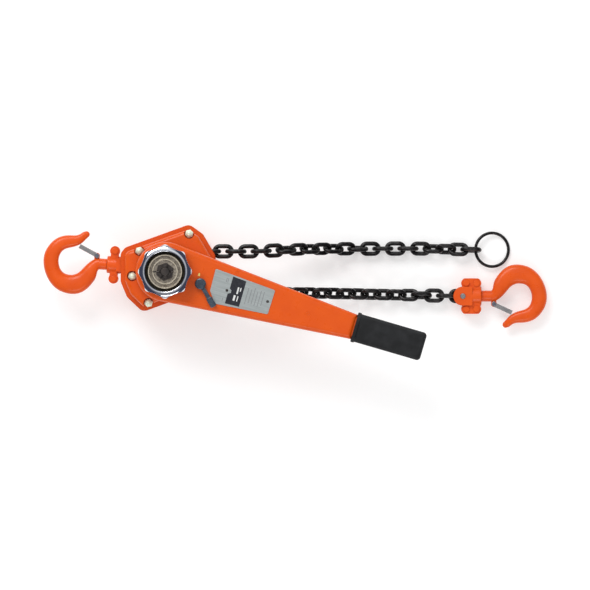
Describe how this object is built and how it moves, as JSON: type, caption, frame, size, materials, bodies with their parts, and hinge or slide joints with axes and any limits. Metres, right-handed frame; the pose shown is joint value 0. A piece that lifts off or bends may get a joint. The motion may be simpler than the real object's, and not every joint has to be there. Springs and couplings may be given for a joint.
{
  "type": "lever chain hoist",
  "caption": "Hand-worked lever hoist: a ratchet lever and hand wheel haul a load chain through a geared pocket wheel, with a hook at each end and a holding brake.",
  "frame": {"origin": "on the main axis, at the back face of the gear cover that the hoist lies on", "axes": "+Z from the gear cover to the hand wheel, +X along the load chain towards the bottom hook, +Y towards the slack strand"},
  "size_m": [0.8198, 0.2183, 0.164],
  "materials": {
    "orange_paint": "gloss enamel",
    "hook_paint": "gloss enamel over a forging",
    "chrome_plate": "bright plated",
    "zinc_plate": "yellow zinc plated",
    "bright_steel": "machined",
    "dark_steel": "oiled, dark",
    "selector_steel": "blue-grey cast",
    "chain_steel": "black oxide",
    "spring_steel": "wire",
    "grip_rubber": "moulded, fine grain",
    "plate_aluminium": "satin, printed",
    "friction_material": "moulded lining"
  },
  "bodies": {
    "casing": {"gear_side_plate": "orange_paint", "brake_side_plate": "orange_paint", "gear_cover": "orange_paint", "brake_cover": "orange_paint", "stay_bolts": "zinc_plate", "stay_nuts": "zinc_plate", "top_pin": "zinc_plate", "chain_guides": "dark_steel", "sheave_bearings": "bright_steel", "pawl_pins": "bright_steel", "pawl_springs": "spring_steel"},
    "pocket_wheel": {"load_sheave": "dark_steel", "load_gear": "bright_steel", "load_gear_ring": "spring_steel", "wrapped_chain": "chain_steel"},
    "gear_a": {"intermediate_gear_a": "bright_steel"},
    "gear_b": {"intermediate_gear_b": "bright_steel"},
    "drive_shaft": {"pinion_shaft": "dark_steel", "disc_hub": "bright_steel", "friction_discs": "friction_material", "change_gear": "bright_steel", "cam_plate": "zinc_plate", "castle_nut": "dark_steel", "cotter_pin": "dark_steel", "free_chain_spring": "spring_steel"},
    "hand_wheel": {"hand_wheel": "chrome_plate", "spring_cup": "zinc_plate"},
    "ratchet": {"ratchet_disc": "bright_steel"},
    "pawl_a": {"brake_pawl_a": "bright_steel"},
    "pawl_b": {"brake_pawl_b": "bright_steel"},
    "lever": {"lever_shell": "orange_paint", "lever_back_plate": "orange_paint", "lever_rivets": "orange_paint", "grip": "grip_rubber", "nameplate": "plate_aluminium", "nameplate_rivets": "dark_steel"},
    "selector": {"selector_lever": "selector_steel", "change_pawl": "bright_steel"},
    "top_yoke": {"top_yoke_front": "hook_paint", "top_yoke_back": "hook_paint", "top_yoke_rivets": "hook_paint"},
    "top_hook": {"top_hook": "hook_paint", "top_latch_pin": "spring_steel", "top_latch_spring": "spring_steel"},
    "top_latch": {"top_latch": "bright_steel"},
    "slack_entry": {"slack_chain_entry": "chain_steel"},
    "slack_near": {"slack_chain_near": "chain_steel"},
    "slack_end": {"slack_chain_end": "chain_steel"},
    "end_ring": {"end_ring": "chain_steel"},
    "load_entry": {"load_chain_entry": "chain_steel"},
    "load_near": {"load_chain_near": "chain_steel"},
    "load_end": {"load_chain_end": "chain_steel"},
    "bottom_block": {"bottom_block_front": "hook_paint", "bottom_block_back": "hook_paint", "bottom_block_rivets": "hook_paint", "chain_pin": "bright_steel"},
    "bottom_hook": {"bottom_hook": "hook_paint", "bottom_latch_pin": "spring_steel", "bottom_latch_spring": "spring_steel"},
    "bottom_latch": {"bottom_latch": "bright_steel"}
  },
  "joints": [
    {"name": "pocket_wheel_turn", "type": "hinge", "parent": "casing", "child": "pocket_wheel", "pos_m": [0, 0, 0.061], "axis": [0, 0, 1], "range_deg": [0, 72], "deforming": ["wrapped_chain"]},
    {"name": "drive_shaft_turn", "type": "hinge", "parent": "casing", "child": "drive_shaft", "pos_m": [0, 0, 0.1], "axis": [0, 0, 1], "range_deg": [0, 331]},
    {"name": "gear_a_turn", "type": "hinge", "parent": "casing", "child": "gear_a", "pos_m": [0.02476, 0.02655, 0.02], "axis": [0, 0, 1], "range_deg": [-155, 0]},
    {"name": "gear_b_turn", "type": "hinge", "parent": "casing", "child": "gear_b", "pos_m": [-0.02476, -0.02655, 0.02], "axis": [0, 0, 1], "range_deg": [-155, 0]},
    {"name": "hand_wheel_pull", "type": "slide", "parent": "drive_shaft", "child": "hand_wheel", "axis": [0, 0, 1], "range_m": [0, 0.004], "stiffness_N_per_m": 900, "springref_m": -0.002, "deforming": ["free_chain_spring"]},
    {"name": "ratchet_turn", "type": "hinge", "parent": "casing", "child": "ratchet", "pos_m": [0, 0, 0.092], "axis": [0, 0, 1], "range_deg": [-14, 0]},
    {"name": "pawl_a_lift", "type": "hinge", "parent": "casing", "child": "pawl_a", "pos_m": [0.0344, 0.02409, 0.092], "axis": [0, 0, 1], "range_deg": [0, 12], "stiffness_Nm_per_rad": 0.02, "springref_deg": -11.46},
    {"name": "pawl_b_lift", "type": "hinge", "parent": "casing", "child": "pawl_b", "pos_m": [0.03807, -0.01775, 0.092], "axis": [0, 0, 1], "range_deg": [0, 12], "stiffness_Nm_per_rad": 0.02, "springref_deg": -11.46},
    {"name": "lever_turn", "type": "hinge", "parent": "casing", "child": "lever", "pos_m": [0, 0, 0.121], "axis": [0, 0, 1], "continuous": true},
    {"name": "selector_turn", "type": "hinge", "parent": "lever", "child": "selector", "pos_m": [0.0568, -0.01953, 0.121], "axis": [0, 0, 1], "range_deg": [-28, 28]},
    {"name": "top_yoke_swing", "type": "hinge", "parent": "casing", "child": "top_yoke", "pos_m": [-0.06099, 0.00992, 0.061], "axis": [0, 0, 1], "range_deg": [-20, 20]},
    {"name": "top_hook_swivel", "type": "hinge", "parent": "top_yoke", "child": "top_hook", "pos_m": [-0.1561, 0.0159, 0.061], "axis": [0.998, -0.0628, 0], "continuous": true},
    {"name": "top_latch_open", "type": "hinge", "parent": "top_hook", "child": "top_latch", "pos_m": [-0.11237, 0.02617, 0.061], "axis": [0, 0, 1], "range_deg": [0, 40], "stiffness_Nm_per_rad": 0.05, "springref_deg": -17.19},
    {"name": "slack_feed", "type": "slide", "parent": "casing", "child": "slack_entry", "axis": [1, 0, 0], "range_m": [-0.0412, 0], "deforming": ["slack_chain_entry"]},
    {"name": "slack_near_swing", "type": "hinge", "parent": "slack_entry", "child": "slack_near", "pos_m": [0.1281, 0.03317, 0.06118], "axis": [0, 0, 1], "range_deg": [0, 10]},
    {"name": "slack_end_swing", "type": "hinge", "parent": "slack_near", "child": "slack_end", "pos_m": [0.36747, 0.03817, 0.01179], "axis": [-0.0022, 0, 1], "range_deg": [0, 20]},
    {"name": "end_ring_swing", "type": "hinge", "parent": "slack_end", "child": "end_ring", "pos_m": [0.50415, 0.03627, 0.01195], "axis": [0, -1, 0], "range_deg": [0, 80]},
    {"name": "load_feed", "type": "slide", "parent": "casing", "child": "load_entry", "axis": [1, 0, 0], "range_m": [0, 0.0412], "deforming": ["load_chain_entry"]},
    {"name": "load_near_swing", "type": "hinge", "parent": "load_entry", "child": "load_near", "pos_m": [0.12811, -0.03323, 0.06117], "axis": [0, 0, 1], "range_deg": [-10, 0]},
    {"name": "load_end_swing", "type": "hinge", "parent": "load_near", "child": "load_end", "pos_m": [0.2826, -0.03525, 0.02433], "axis": [0, 0, 1], "range_deg": [-6, 0]},
    {"name": "bottom_block_swing", "type": "hinge", "parent": "load_end", "child": "bottom_block", "pos_m": [0.48297, -0.03939, 0.016], "axis": [0, 0, 1], "range_deg": [-15, 0]},
    {"name": "bottom_hook_swivel", "type": "hinge", "parent": "bottom_block", "child": "bottom_hook", "pos_m": [0.57697, -0.03939, 0.016], "axis": [1, 0, 0], "continuous": true},
    {"name": "bottom_latch_open", "type": "hinge", "parent": "bottom_hook", "child": "bottom_latch", "pos_m": [0.53397, -0.05239, 0.016], "axis": [0, 0, 1], "range_deg": [0, 40], "stiffness_Nm_per_rad": 0.05, "springref_deg": -17.19}
  ],
  "couplings": [
    {"joint": "drive_shaft_turn", "follows": "pocket_wheel_turn", "ratio": 4.5918},
    {"joint": "gear_a_turn", "follows": "pocket_wheel_turn", "ratio": -2.1429},
    {"joint": "gear_b_turn", "follows": "pocket_wheel_turn", "ratio": -2.1429},
    {"joint": "load_feed", "follows": "pocket_wheel_turn", "m_per_rad": 0.032706},
    {"joint": "slack_feed", "follows": "pocket_wheel_turn", "m_per_rad": -0.032706},
    {"joint": "pawl_a_lift", "follows": "ratchet_turn", "ratio": -0.85},
    {"joint": "pawl_b_lift", "follows": "ratchet_turn", "ratio": -0.85}
  ]
}
